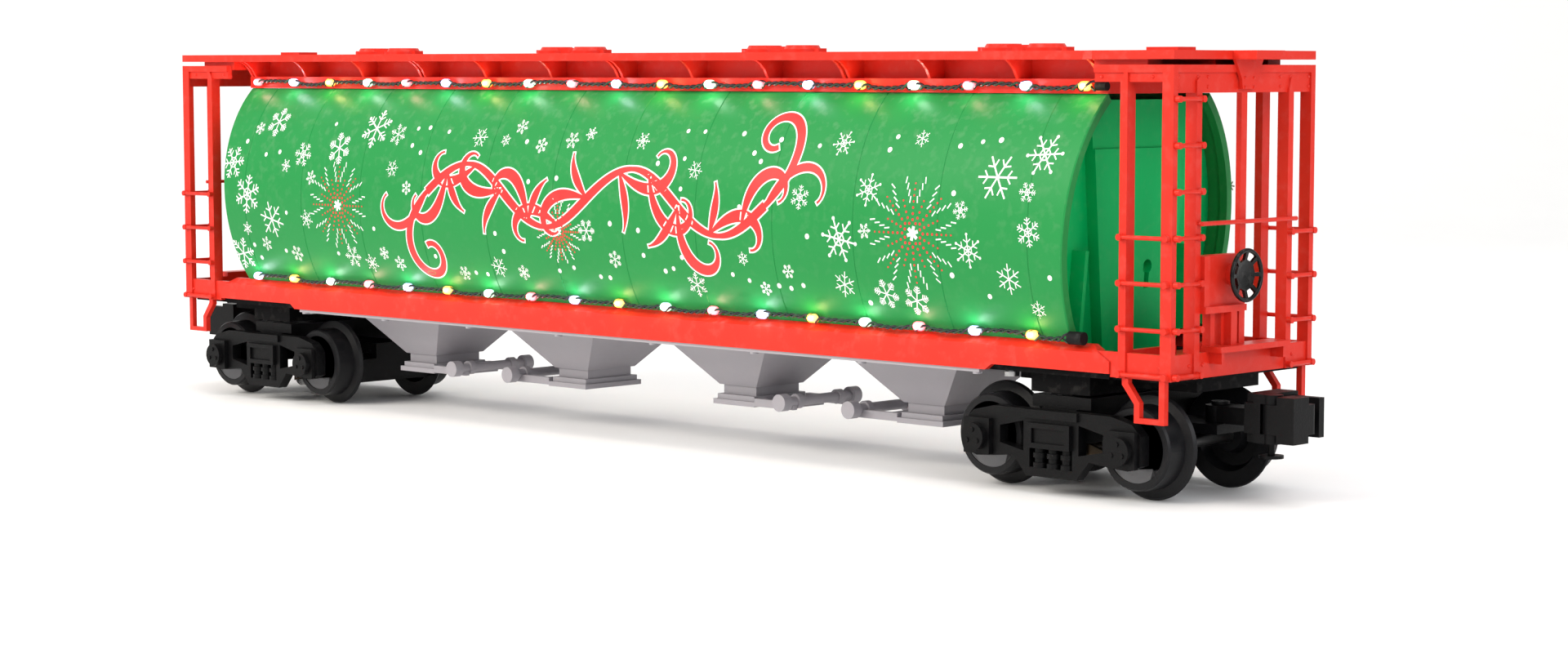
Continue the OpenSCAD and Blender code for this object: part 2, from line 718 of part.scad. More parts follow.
// King pins that hold the trucks, and four body screws
module screws() {
    color("silver") {
        for (s = [-1, 1]) translate([s * truck_x, 0, 0]) difference() {
            union() {
                translate([0, 0, head_seat - 2]) cylinder(r = king_head_r, h = 2 - fit_gap);
                translate([0, 0, head_seat - 1]) cylinder(r = king_r, h = floor_top - head_seat);
            }
            slab(-0.4, 0.4, -2.4, 2.4, head_seat - 3, head_seat - 1.2);
        }
        for (s = [-1, 1]) both_sides() translate([s * boss_x, boss_y, 0]) {
            translate([0, 0, sill_z - 1.9]) cylinder(r = 1.8, h = 1.1);
            translate([0, 0, sill_z - 1]) cylinder(r = screw_r, h = floor_t + 7);
        }
    }
}

// Truck frame: bolster, tongue for the coupler and the inner transom
module bolster() {
    color("#1a1a1a") difference() {
        union() {
            slab(-bolster_half, bolster_half, -frame_in, frame_in, bolster_low, bolster_top - 2.8);
            slab(-cap_half, cap_half, -cap_y, cap_y, bolster_top - 2.8, bolster_top);
            slab(bolster_half, coupler_pivot + 3.5, -tongue_half, tongue_half, tongue_z, tongue_z + tongue_t);
            slab(-29, -bolster_half, -tongue_half, tongue_half, tongue_z, tongue_z + tongue_t);
            slab(-29, -26.6, -wheel_back + 1, wheel_back - 1, axle_z - 6, axle_z + 0.6);
            slab(-29, -26.6, -tongue_half, tongue_half, axle_z, tongue_z + tongue_t);
            translate([coupler_pivot, 0, tongue_z]) cylinder(r = rivet_r, h = tongue_t + 4.4);
            translate([coupler_pivot, 0, tongue_z + tongue_t + 4.1]) cylinder(r = 2.1, h = 0.7);
            both_sides() slab(pickup_pivot_x - 1.8, pickup_pivot_x + 1.8, 8.7, 10.2,
                pickup_pivot_z - 1.8, bolster_low + 1);
        }
        cylinder(r = king_head_r + 0.4, h = head_seat);
        cylinder(r = king_r + 0.1, h = 40);
        bar_y(pickup_pin_r + run_fit, pickup_pivot_x, pickup_pivot_z, 30);
    }
}

// Cast side frame with its windows, journal boxes and spring group
module side_frame() {
    w = wheelbase / 2;
    e = w + 4.6;
    z = axle_z;
    outline = [[-e, z - 3.2], [-e, z + 3.4], [-w - 2, z + 6], [-w + 4, z + 7.4], [w - 4, z + 7.4],
        [w + 2, z + 6], [e, z + 3.4], [e, z - 3.2], [w + 1, z - 4.6], [w - 4.5, z - 4.2],
        [w - 10, z - 3.6], [7.2, z - 8.1], [-7.2, z - 8.1], [-w + 10, z - 3.6],
        [-w + 4.5, z - 4.2], [-w - 1, z - 4.6]];
    window = [[8, z - 2.4], [w - 6, z - 1], [w - 6, z + 3], [8, z + 4.6]];
    outer = frame_in + frame_t;
    difference() {
        union() {
            side_plate(outline, frame_in, outer);
            for (s = [-1, 1]) translate([s * w, 0, z]) {
                slab(-3.8, 3.8, outer, outer + 1.4, -4, 4.4);
                translate([0, outer + 3, 0]) rotate([90, 0, 0]) cylinder(r = 3.2, h = 3);
                for (a = [90, 210, 330]) translate([1.7 * cos(a), outer + 3.3, 1.7 * sin(a)])
                    rotate([90, 0, 0]) cylinder(r = 0.6, h = 1, $fn = 6);
            }
            slab(-6.2, 6.2, outer, outer + 1.2, z - 1.4, z + 4.4);
            slab(-8, 8, outer, outer + 0.8, z + 5.4, z + 7.4);
        }
        side_plate(window, 0, 60);
        mirror([1, 0, 0]) side_plate(window, 0, 60);
        slab(-6.2, 6.2, frame_in + 0.6, 60, z - 6, z - 1.4);
        slab(-4.8, 4.8, outer + 0.5, 60, z - 0.2, z + 3.2);
        for (s = [-1, 1]) translate([s * w, frame_in + 2.6, z]) rotate([90, 0, 0])
            cylinder(r = journal_r + run_fit, h = 5);
    }
    for (x = [-4, 0, 4]) translate([x, frame_in + 1.7, z - 6]) for (k = [0:3])
        translate([0, 0, k * 1.15]) cylinder(r = k % 2 == 0 ? 1.7 : 1.3, h = 1.15, $fn = 24);
}

module side_frames() {
    color("#1a1a1a") both_sides() side_frame();
}

module axle(s) {
    x = s * wheelbase / 2;
    color("#8a8a8a") {
        bar_y(axle_r, x, axle_z, wheel_back + wheel_w + 0.5);
        bar_y(journal_r, x, axle_z, frame_in + 2.4);
    }
}

// A pair of flanged wheels
module wheels(s) {
    y1 = wheel_back + wheel_w;
    profile = [[axle_r, wheel_back + 0.3], [3.6, wheel_back + 0.3], [4.4, wheel_back + 2.4],
        [tread_r - 2.4, wheel_back + 2.4], [tread_r - 1.2, wheel_back], [flange_r - 0.3, wheel_back],
        [flange_r, wheel_back + 0.5], [flange_r - 0.5, wheel_back + 1.2], [tread_r + 0.25, wheel_back + 1.7],
        [tread_r, y1 - 0.5], [tread_r - 0.4, y1], [tread_r - 1.8, y1], [tread_r - 2.2, y1 - 1.6],
        [4, y1 - 2.2], [3.2, y1 - 0.2], [axle_r, y1 - 0.2]];
    color("#242424") both_sides() translate([s * wheelbase / 2, 0, axle_z])
        rotate([-90, 0, 0]) rotate_extrude() polygon(profile);
}

// Coupler head with its guard arm, eye and knuckle pin
module coupler() {
    top = coupler_low + coupler_h;
    color("#161616") difference() {
        union() {
            translate([coupler_pivot, 0, coupler_z0]) cylinder(r = 3.4, h = 3.9);
            slab(coupler_pivot, head_start + 1.4, -3.2, 3.2, coupler_z0, coupler_z0 + 3.9);
            slab(head_start, head_start + 4.8, -6.6, 6.6, coupler_low + lug_t, top - lug_t);
            slab(head_start, head_start + 5.4, -5.4, 6.6, coupler_low, coupler_low + lug_t);
            slab(head_start, head_start + 5.4, -5.4, 6.6, top - lug_t, top);
            for (z = [coupler_low, top - lug_t])
                translate([knuckle_x, knuckle_y, z]) cylinder(r = 2.2, h = lug_t);
            for (z = [coupler_low, top - lug_t])
                slab(head_start + 2.4, knuckle_x, knuckle_y - 2, knuckle_y + 2.2, z, z + lug_t);
            slab(head_start + 4.8, head_start + 12.4, 3.8, 6.6, coupler_low + 1, top - 1);
        }
        translate([coupler_pivot, 0, coupler_z0 - 1]) cylinder(r = rivet_r + run_fit, h = 8);
        translate([tack_x, 0, coupler_low - 1]) cylinder(r = tack_r + run_fit, h = 5);
        translate([knuckle_x, knuckle_y, coupler_low + lug_t]) cylinder(r = 2.9, h = coupler_h - 2 * lug_t);
        slab(head_start + 7.4, head_start + 24, 2, 4.6, 0, 40);
    }
    color("#161616") translate([knuckle_x, knuckle_y, coupler_low]) cylinder(r = knuckle_pin_r, h = coupler_h);
}

// The hinged hook of the coupler
module knuckle() {
    z0 = coupler_low + lug_t + fit_gap;
    h = coupler_h - 2 * (lug_t + fit_gap);
    tip = head_start + 13.4;
    color("#161616") difference() {
        union() {
            translate([knuckle_x, knuckle_y, z0]) cylinder(r = 2.3, h = h);
            slab(knuckle_x, tip, knuckle_y - 2.3, knuckle_y + 0.7, z0, z0 + h);
            slab(tip - 3.4, tip, knuckle_y - 2.3, 0.8, z0, z0 + h);
            translate([tip - 1.7, 0.8, z0]) cylinder(r = 1.7, h = h);
            slab(tip - 4.6, tip, knuckle_y - 2.3, -1, coupler_low + 0.3, coupler_low + coupler_h - 0.3);
        }
        translate([knuckle_x, knuckle_y, 0]) cylinder(r = knuckle_pin_r + run_fit, h = 40);
        translate([knuckle_x, knuckle_y, 0]) cylinder(r = 2.35, h = coupler_low + lug_t + fit_gap);
        translate([knuckle_x, knuckle_y, z0 + h]) cylinder(r = 2.35, h = 10);
    }
}

// Thumb tack under the coupler that frees the knuckle
module release_pin() {
    color("#161616") translate([tack_x, 0, 0]) {
        translate([0, 0, coupler_low - 3.4]) cylinder(r = tack_r, h = 6.4);
        translate([0, 0, coupler_low - 4]) cylinder(r = 2.8, h = 0.7);
    }
}

// Sprung arm that holds the pickup roller against the middle rail
module pickup_arm() {
    color("#9a7b3c") difference() {
        union() {
            both_sides() side_plate([[pickup_pivot_x - 1.6, pickup_pivot_z - 1.6],
                [pickup_x + 1.5, pickup_z - 1.5], [pickup_x + 1.5, pickup_z + 1.5],
                [pickup_pivot_x + 1, pickup_pivot_z + 1.6], [pickup_pivot_x - 1.6, pickup_pivot_z + 1.6]],
                pickup_half + 0.4, pickup_half + 1.4);
            slab(pickup_pivot_x - 1.6, pickup_pivot_x - 0.6, -pickup_half - 0.4, pickup_half + 0.4,
                pickup_pivot_z - 1.6, pickup_pivot_z + 1.6);
            bar_y(pickup_pin_r, pickup_pivot_x, pickup_pivot_z, 10.6);
        }
        bar_y(roller_pin_r + run_fit, pickup_x, pickup_z, 20);
    }
}

module pickup_roller() {
    color("#b8b8b8") {
        bar_y(pickup_r, pickup_x, pickup_z, pickup_half);
        bar_y(roller_pin_r, pickup_x, pickup_z, pickup_half + 1.6);
    }
}

module at_truck(turned) {
    at_end(turned) translate([truck_x, 0, 0]) children();
}

underframe();
ballast_weight();
color("#e8402a") mirror([0, 1, 0]) side_sill();  // side_sill_near
color("#e8402a") side_sill();  // side_sill_far
at_end(true) end_platform();  // end_platform_a
at_end(false) end_platform();  // end_platform_b
at_end(true) end_frame();  // end_frame_a
at_end(false) end_frame();  // end_frame_b
at_end(true) ladders();  // ladders_a
at_end(false) ladders();  // ladders_b
stirrup_steps();
end_handrails();
brake_stand();
tank_shell();
at_end(true) tank_end();  // tank_end_a
at_end(false) tank_end();  // tank_end_b
roof_rail();
walk_brackets();
roof_walk();
roof_hatches();
hopper_flange();
bay(0);  // bay_1
bay(1);  // bay_2
bay(2);  // bay_3
bay(3);  // bay_4
outlet_gates();
gate_shafts();
light_board();
wires_top();
wires_bottom();
color("red") bulbs(0, 3);  // bulbs_red
color("#cfe0ff") bulbs(1, 0);  // bulbs_blue
color("orange") bulbs(2, 1);  // bulbs_amber
color("#bfffd8") bulbs(3, 2);  // bulbs_green
wire_boots();
screws();
brake_wheel();
at_truck(true) bolster();  // bolster_a
at_truck(true) side_frames();  // side_frames_a
at_truck(true) axle(1);  // axle_a1
at_truck(true) axle(-1);  // axle_a2
at_truck(true) wheels(1);  // wheels_a1
at_truck(true) wheels(-1);  // wheels_a2
at_truck(true) coupler();  // coupler_a
at_truck(true) knuckle();  // knuckle_a
at_truck(true) release_pin();  // release_pin_a
at_truck(true) pickup_arm();  // pickup_arm_a
at_truck(true) pickup_roller();  // pickup_roller_a
at_truck(false) bolster();  // bolster_b
at_truck(false) side_frames();  // side_frames_b
at_truck(false) axle(1);  // axle_b1
at_truck(false) axle(-1);  // axle_b2
at_truck(false) wheels(1);  // wheels_b1
at_truck(false) wheels(-1);  // wheels_b2
at_truck(false) coupler();  // coupler_b
at_truck(false) knuckle();  // knuckle_b
at_truck(false) release_pin();  // release_pin_b
at_truck(false) pickup_arm();  // pickup_arm_b
at_truck(false) pickup_roller();  // pickup_roller_b
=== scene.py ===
# %% [markdown]
# # A lit covered hopper wagon for a model railway
# The CAD frame gives every piece its true size and place. This notebook dresses it: materials first,
# then the printed tank, the strings of lights, the small castings, and last the floor, lamps and camera.

# %% Load the frame
import json
import math
import random
import bmesh
import bpy
from mathutils import Matrix, Vector


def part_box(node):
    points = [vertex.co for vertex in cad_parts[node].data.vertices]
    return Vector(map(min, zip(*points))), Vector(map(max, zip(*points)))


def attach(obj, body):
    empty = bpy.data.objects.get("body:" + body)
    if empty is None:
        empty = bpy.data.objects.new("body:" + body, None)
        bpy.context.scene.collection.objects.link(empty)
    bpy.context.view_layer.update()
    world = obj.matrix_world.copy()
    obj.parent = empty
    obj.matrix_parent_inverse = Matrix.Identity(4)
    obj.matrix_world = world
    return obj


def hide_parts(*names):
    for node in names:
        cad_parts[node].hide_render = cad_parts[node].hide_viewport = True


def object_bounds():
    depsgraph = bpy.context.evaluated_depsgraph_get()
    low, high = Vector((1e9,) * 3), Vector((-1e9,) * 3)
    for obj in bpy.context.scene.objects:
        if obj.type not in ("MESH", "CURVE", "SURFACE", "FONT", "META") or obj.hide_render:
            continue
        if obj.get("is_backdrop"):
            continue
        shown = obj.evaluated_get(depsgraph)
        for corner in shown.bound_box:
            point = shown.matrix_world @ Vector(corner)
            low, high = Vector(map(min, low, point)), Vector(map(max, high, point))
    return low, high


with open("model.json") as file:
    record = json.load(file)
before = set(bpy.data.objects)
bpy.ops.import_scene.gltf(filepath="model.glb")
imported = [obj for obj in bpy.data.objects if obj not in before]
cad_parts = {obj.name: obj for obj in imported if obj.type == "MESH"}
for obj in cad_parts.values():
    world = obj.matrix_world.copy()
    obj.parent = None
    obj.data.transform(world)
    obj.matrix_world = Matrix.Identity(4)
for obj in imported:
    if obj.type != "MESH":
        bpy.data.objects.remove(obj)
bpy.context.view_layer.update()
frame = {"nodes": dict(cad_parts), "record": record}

MM = 0.001
NODES = frame["nodes"]
RECORD = frame["record"]
SLOT_OF = {part["node"]: part["material_slot"] for part in RECORD["subparts"]}
print(len(NODES), "CAD nodes,", len(set(SLOT_OF.values())), "material slots")

# %% [markdown]
# ## Sizes read from the frame
# Everything below is in millimetres and comes from the boxes of the CAD nodes.

# %% Read the sizes


def box_mm(node):
    low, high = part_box(node)
    return low / MM, high / MM


SILL = box_mm("side_sill_far")
TANK = box_mm("tank_shell")
FRAME_B = box_mm("end_frame_b")
HALF_W = SILL[1].y
SILL_TOP = SILL[1].z
ROOF_Z = TANK[1].z
TANK_A = TANK[1].y
LEAN = 5.0
HEAD_X = TANK[1].x
FOOT_X = HEAD_X - LEAN
RIM_IN = 2.2
RIM_T = 2.0
WALL = 1.4
SKIN_IN = 0.06
TANK_ASPECT = 1.2215
TANK_CENTRE_UP = 24.5
PLATE_PROUD = 0.8
LIP_UNDER_WALK = 1.2
FLANGE_DEPTH = 2.65
END_X = FRAME_B[1].x - PLATE_PROUD
TANK_B = TANK_A * TANK_ASPECT
TANK_ZC = SILL_TOP + TANK_CENTRE_UP
print("tank", round(2 * HEAD_X, 1), "long,", round(2 * TANK_A, 1), "wide")

# %% [markdown]
# ## Mesh helpers
# Small builders add boxes, turned shapes, tubes and domes to one mesh, in millimetres.

# %% Mesh builders


def add_box(bm, low, high):
    size = Vector(high) - Vector(low)
    middle = (Vector(high) + Vector(low)) / 2
    place = Matrix.Translation(middle) @ Matrix.Diagonal((*size, 1))
    bmesh.ops.create_cube(bm, size=1, matrix=place)


def add_turned(bm, profile, place, steps=32):
    """Profile points are (radius, height); the shape turns about the local Z of place."""
    rings = []
    for radius, height in profile:
        if radius < 1e-6:
            rings.append([bm.verts.new(place @ Vector((0, 0, height)))])
            continue
        turn = [2 * math.pi * i / steps for i in range(steps)]
        rings.append([bm.verts.new(place @ Vector((radius * math.cos(t), radius * math.sin(t), height)))
                      for t in turn])
    for one, two in zip(rings, rings[1:]):
        for i in range(steps):
            j = (i + 1) % steps
            corners = [one[i % len(one)], one[j % len(one)], two[j % len(two)], two[i % len(two)]]
            unique = list(dict.fromkeys(corners))
            if len(unique) > 2:
                bm.faces.new(unique)
    for ring in (rings[0], rings[-1]):
        if len(ring) > 1:
            bm.faces.new(ring)


def add_tube(bm, points, radius, sides=8):
    """A round tube through points, with flat caps."""
    rings = []
    up = Vector((0, 0.3, 1)).normalized()
    for i, point in enumerate(points):
        ahead = points[min(i + 1, len(points) - 1)]
        behind = points[max(i - 1, 0)]
        along = (ahead - behind).normalized()
        side = along.cross(up).normalized()
        top = side.cross(along)
        turn = [2 * math.pi * k / sides for k in range(sides)]
        rings.append([bm.verts.new(point + radius * (math.cos(t) * side + math.sin(t) * top)) for t in turn])
    for one, two in zip(rings, rings[1:]):
        for k in range(sides):
            j = (k + 1) % sides
            bm.faces.new((one[k], one[j], two[j], two[k]))
    bm.faces.new(rings[0][::-1])
    bm.faces.new(rings[-1])


def facing(origin, direction):
    """A placement with its local Z along direction."""
    return Matrix.Translation(origin) @ Vector(direction).to_track_quat("Z", "Y").to_matrix().to_4x4()


def add_dome(bm, origin, direction, radius, height):
    profile = [(radius, 0), (radius * 0.92, height * 0.45), (radius * 0.6, height * 0.86), (0, height)]
    add_turned(bm, profile, facing(origin, direction), 12)


def make_piece(name, bm, material, body="car", smooth=40):
    """Turns a mesh in millimetres into a named piece that rides a CAD body."""
    bmesh.ops.recalc_face_normals(bm, faces=bm.faces)
    bmesh.ops.scale(bm, vec=(MM, MM, MM), verts=bm.verts)
    mesh = bpy.data.meshes.new(name)
    bm.to_mesh(mesh)
    bm.free()
    mesh.shade_smooth()
    mesh.set_sharp_from_angle(angle=math.radians(smooth))
    piece = bpy.data.objects.new(name, mesh)
    bpy.context.scene.collection.objects.link(piece)
    piece.data.materials.append(material)
    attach(piece, body)
    return piece


def add_bevel(piece, width):
    soften = piece.modifiers.new("soft edges", "BEVEL")
    soften.width = width * MM
    soften.segments = 2
    soften.limit_method = "ANGLE"
    soften.angle_limit = math.radians(40)
    soften.use_clamp_overlap = True
    soften.harden_normals = False


print("builders ready")

# %% [markdown]
# ## Shared shader groups
# One group gives moulded and painted surfaces their fine grain, faint unevenness and dust.

# %% Surface group
GRAIN_SCALE = 3000.0


def new_group(name, inputs, outputs):
    group = bpy.data.node_groups.new(name, "ShaderNodeTree")
    for label, kind, value in inputs:
        socket = group.interface.new_socket(label, in_out="INPUT", socket_type=kind)
        socket.default_value = value
    for label, kind in outputs:
        group.interface.new_socket(label, in_out="OUTPUT", socket_type=kind)
    return group


def add_node(tree, kind, **settings):
    node = tree.nodes.new(kind)
    for key, value in settings.items():
        setattr(node, key, value)
    return node


def noise(tree, coords, scale, detail=3.0):
    node = add_node(tree, "ShaderNodeTexNoise")
    node.inputs["Scale"].default_value = scale
    node.inputs["Detail"].default_value = detail
    tree.links.new(coords, node.inputs["Vector"])
    return node.outputs["Fac"]


def remap(tree, value, low, high, to_low, to_high):
    node = add_node(tree, "ShaderNodeMapRange")
    node.inputs["From Min"].default_value = low
    node.inputs["From Max"].default_value = high
    node.inputs["To Min"].default_value = to_low
    node.inputs["To Max"].default_value = to_high
    tree.links.new(value, node.inputs["Value"])
    return node.outputs["Result"]


def math_node(tree, operation, one, two):
    node = add_node(tree, "ShaderNodeMath", operation=operation)
    for socket, value in zip(node.inputs, (one, two)):
        if isinstance(value, (int, float)):
            socket.default_value = value
        else:
            tree.links.new(value, socket)
    return node.outputs[0]


def mix_colour(tree, factor, one, two, blend="MIX"):
    node = add_node(tree, "ShaderNodeMix", data_type="RGBA", blend_type=blend)
    pairs = ((node.inputs[0], factor), (node.inputs[6], one), (node.inputs[7], two))
    for socket, value in pairs:
        if isinstance(value, (int, float)):
            socket.default_value = value
        elif isinstance(value, tuple):
            socket.default_value = value
        else:
            tree.links.new(value, socket)
    return node.outputs[2]


def build_surface_group():
    group = new_group("moulded surface", [
        ("Colour", "NodeSocketColor", (0.5, 0.5, 0.5, 1)),
        ("Roughness", "NodeSocketFloat", 0.4),
        ("Grain", "NodeSocketFloat", 0.2),
        ("Grain Scale", "NodeSocketFloat", GRAIN_SCALE),
        ("Unevenness", "NodeSocketFloat", 0.1),
        ("Dust", "NodeSocketFloat", 0.1)],
        [("Colour", "NodeSocketColor"), ("Roughness", "NodeSocketFloat"), ("Normal", "NodeSocketVector")])
    into = add_node(group, "NodeGroupInput").outputs
    out = add_node(group, "NodeGroupOutput").inputs
    coords = add_node(group, "ShaderNodeTexCoord").outputs["Object"]
    broad = noise(group, coords, 28.0, 4.0)
    fine = noise(group, coords, 420.0, 3.0)
    shade = remap(group, broad, 0.3, 0.7, -0.5, 0.5)
    amount = math_node(group, "MULTIPLY", shade, into["Unevenness"])
    scale = math_node(group, "ADD", amount, 1.0)
    tone = add_node(group, "ShaderNodeVectorMath", operation="SCALE")
    group.links.new(into["Colour"], tone.inputs[0])
    group.links.new(scale, tone.inputs["Scale"])
    specks = remap(group, fine, 0.52, 0.7, 0.0, 1.0)
    upward = add_node(group, "ShaderNodeSeparateXYZ")
    group.links.new(add_node(group, "ShaderNodeNewGeometry").outputs["Normal"], upward.inputs[0])
    settled = remap(group, upward.outputs["Z"], -0.2, 1.0, 0.15, 1.0)
    dusty = math_node(group, "MULTIPLY", math_node(group, "MULTIPLY", specks, settled), into["Dust"])
    coloured = mix_colour(group, dusty, tone.outputs[0], (0.62, 0.58, 0.54, 1))
    group.links.new(coloured, out["Colour"])
    rough = math_node(group, "ADD", into["Roughness"], remap(group, fine, 0.3, 0.7, -0.04, 0.05))
    dulled = math_node(group, "MULTIPLY", dusty, 0.6)
    group.links.new(math_node(group, "ADD", rough, dulled), out["Roughness"])
    grain = add_node(group, "ShaderNodeTexNoise")
    grain.inputs["Detail"].default_value = 2.0
    group.links.new(coords, grain.inputs["Vector"])
    group.links.new(into["Grain Scale"], grain.inputs["Scale"])
    bump = add_node(group, "ShaderNodeBump")
    bump.inputs["Distance"].default_value = 0.00012
    group.links.new(into["Grain"], bump.inputs["Strength"])
    group.links.new(grain.outputs["Fac"], bump.inputs["Height"])
    group.links.new(bump.outputs["Normal"], out["Normal"])
    return group


SURFACE = build_surface_group()
print("surface group ready")

# %% [markdown]
# ## Materials
# Each CAD slot gets one finish. A finish gives the shared group its colour, roughness, grain and dust.

# %% Materials


def make_surface(name, colour, roughness, grain=0.15, uneven=0.08, dust=0.08, metallic=0.0, shine=0.5):
    """A finished material: the shared group feeds colour, roughness and normal."""
    material = bpy.data.materials.new(name)
    material.use_nodes = True
    tree = material.node_tree
    shader = tree.nodes["Principled BSDF"]
    group = add_node(tree, "ShaderNodeGroup", node_tree=SURFACE)
    group.inputs["Colour"].default_value = (*colour, 1)
    group.inputs["Roughness"].default_value = roughness
    group.inputs["Grain"].default_value = grain
    group.inputs["Grain Scale"].default_value = GRAIN_SCALE
    group.inputs["Unevenness"].default_value = uneven
    group.inputs["Dust"].default_value = dust
    tree.links.new(group.outputs["Colour"], shader.inputs["Base Color"])
    tree.links.new(group.outputs["Roughness"], shader.inputs["Roughness"])
    tree.links.new(group.outputs["Normal"], shader.inputs["Normal"])
    shader.inputs["Metallic"].default_value = metallic
    shader.inputs["Specular IOR Level"].default_value = shine
    return material


def make_glow(name, tint, core, strength):
    """A lit resin bulb: its middle is pale and its rim takes the full tint."""
    material = bpy.data.materials.new(name)
    material.use_nodes = True
    tree = material.node_tree
    shader = tree.nodes["Principled BSDF"]
    shader.inputs["Roughness"].default_value = 0.2
    facing_way = add_node(tree, "ShaderNodeLayerWeight")
    facing_way.inputs["Blend"].default_value = 0.45
    coords = add_node(tree, "ShaderNodeTexCoord").outputs["Object"]
    mottled = remap(tree, noise(tree, coords, 900.0, 2.0), 0.3, 0.7, 0.75, 1.25)
    edge = math_node(tree, "MULTIPLY", facing_way.outputs["Facing"], mottled)
    colour = mix_colour(tree, edge, (*core, 1), (*tint, 1))
    tree.links.new(colour, shader.inputs["Base Color"])
    tree.links.new(colour, shader.inputs["Emission Color"])
    shader.inputs["Emission Strength"].default_value = strength
    return material


RED = (0.60, 0.022, 0.011)
GREEN = (0.012, 0.215, 0.048)
END_GREEN = (0.001, 0.40, 0.10)
BLACK = (0.003, 0.003, 0.0034)
MATERIALS = {
    "body_red": make_surface("red plastic", RED, 0.36, shine=0.2),
    "tank_green": make_surface("printed green", GREEN, 0.42, grain=0.1, uneven=0.04, shine=0.18),
    "tank_end_green": make_surface("moulded green", END_GREEN, 0.4, shine=0.1),
    "hopper_grey": make_surface("grey plastic", (0.30, 0.285, 0.31), 0.5, dust=0.1),
    "underframe_black": make_surface("black floor", BLACK, 0.6, shine=0.06),
    "cast_black": make_surface("black casting", BLACK, 0.42, grain=0.4, dust=0.01, shine=0.12),
    "wheel_black": make_surface("black wheel", (0.006, 0.006, 0.007), 0.38, grain=0.3, dust=0.01, shine=0.18),
    "axle_steel": make_surface("axle steel", (0.1, 0.1, 0.1), 0.35, metallic=1.0),
    "plain_steel": make_surface("plated steel", (0.4, 0.4, 0.4), 0.3, metallic=1.0),
    "brake_black": make_surface("gloss black", (0.003, 0.003, 0.003), 0.25, shine=0.2),
    "pickup_brass": make_surface("dark spring brass", (0.06, 0.045, 0.03), 0.4, metallic=1.0),
    "roller_steel": make_surface("turned steel", (0.4, 0.4, 0.4), 0.25, metallic=1.0),
    "circuit_board": make_surface("board green", (0.015, 0.16, 0.06), 0.4),
    "wire_cover": make_surface("wire varnish", (0.006, 0.02, 0.012), 0.3),
    "boot_rubber": make_surface("black rubber", BLACK, 0.7, shine=0.2),
    "bulb_red": make_glow("red bulb", (0.9, 0.03, 0.08), (1.0, 0.42, 0.46), 1.15),
    "bulb_blue": make_glow("cold white bulb", (0.3, 0.4, 0.95), (0.88, 0.92, 1.0), 1.2),
    "bulb_amber": make_glow("amber bulb", (1.0, 0.34, 0.0), (1.0, 0.78, 0.22), 1.15),
    "bulb_green": make_glow("green white bulb", (0.25, 0.8, 0.5), (0.84, 1.0, 0.88), 1.2),
}
PRINT_WHITE = make_surface("white print", (0.68, 0.72, 0.68), 0.45, uneven=0.03, dust=0.02)
PRINT_RED = make_surface("red print", (0.60, 0.013, 0.012), 0.42, uneven=0.04, dust=0.02)
# Bright steel for the painted highlight ring on the wheel rims.
RIM_HIGHLIGHT_STEEL = make_surface("painted rim highlight", (0.11, 0.11, 0.115), 0.4, metallic=1.0)

BEVELS = {"body_red": 0.14, "hopper_grey": 0.16, "cast_black": 0.14, "tank_end_green": 0.18,
          "underframe_black": 0.1, "wheel_black": 0.1}
for name, node in NODES.items():
    slot = SLOT_OF[name]
    node.data.materials.clear()
    node.data.materials.append(MATERIALS[slot])
    if slot in BEVELS:
        add_bevel(node, BEVELS[slot])
print(len(MATERIALS), "materials on", len(NODES), "nodes")

# %% [markdown]
# ## The tank
# The tank is a tall oval shell. Its ends lean outward and carry a rim, and thin seams ring it.

# %% Oval surface


def oval_point(angle, inset):
    y = (TANK_A - inset) * math.cos(angle)
    z = TANK_ZC + (TANK_B - inset) * math.sin(angle)
    return y, z


def end_x_at(z):
    return FOOT_X + (z - SILL_TOP) * LEAN / (ROOF_Z - SILL_TOP)


LOW_ANGLE = math.asin((SILL_TOP - TANK_ZC) / TANK_B)
HIGH_ANGLE = math.asin((ROOF_Z - TANK_ZC) / TANK_B)
ANGLE_STEPS = 72
SEAM_COUNT = 12
SEAM_PITCH = 2 * (FOOT_X + 5.4) / SEAM_COUNT
SEAMS = [(i - (SEAM_COUNT - 1) / 2) * SEAM_PITCH for i in range(SEAM_COUNT)]
SEAM_DEPTH = 0.13
SEAM_HALF = 0.22


def skin_stations(end):
    """(x, inset) pairs of the outer skin, from the -X end to the +X end."""
    stations = [(-end, SKIN_IN + 0.25), (-end + 0.3, SKIN_IN)]
    for seam in SEAMS:
        if abs(seam) < end - 2:
            stations += [(seam - SEAM_HALF, SKIN_IN), (seam - SEAM_HALF * 0.4, SKIN_IN + SEAM_DEPTH),
                         (seam + SEAM_HALF * 0.4, SKIN_IN + SEAM_DEPTH), (seam + SEAM_HALF, SKIN_IN)]
    return stations + [(end - 0.3, SKIN_IN), (end, SKIN_IN + 0.25)]


def shell_loop(angle):
    """All points round the shell's wall at one angle, as a closed loop."""
    _, z = oval_point(angle, 0)
    right = [(0.0, RIM_IN), (RIM_T, RIM_IN), (RIM_T, WALL), (12.0, WALL)]
    points = []
    for x, inset in skin_stations(end_x_at(z)):
        y, height = oval_point(angle, inset)
        points.append(Vector((x, y, height)))
    for back, inset in right:
        y, height = oval_point(angle, inset)
        points.append(Vector((end_x_at(height) - back, y, height)))
    for back, inset in right[::-1]:
        y, height = oval_point(angle, inset)
        points.append(Vector((-end_x_at(height) + back, y, height)))
    return points


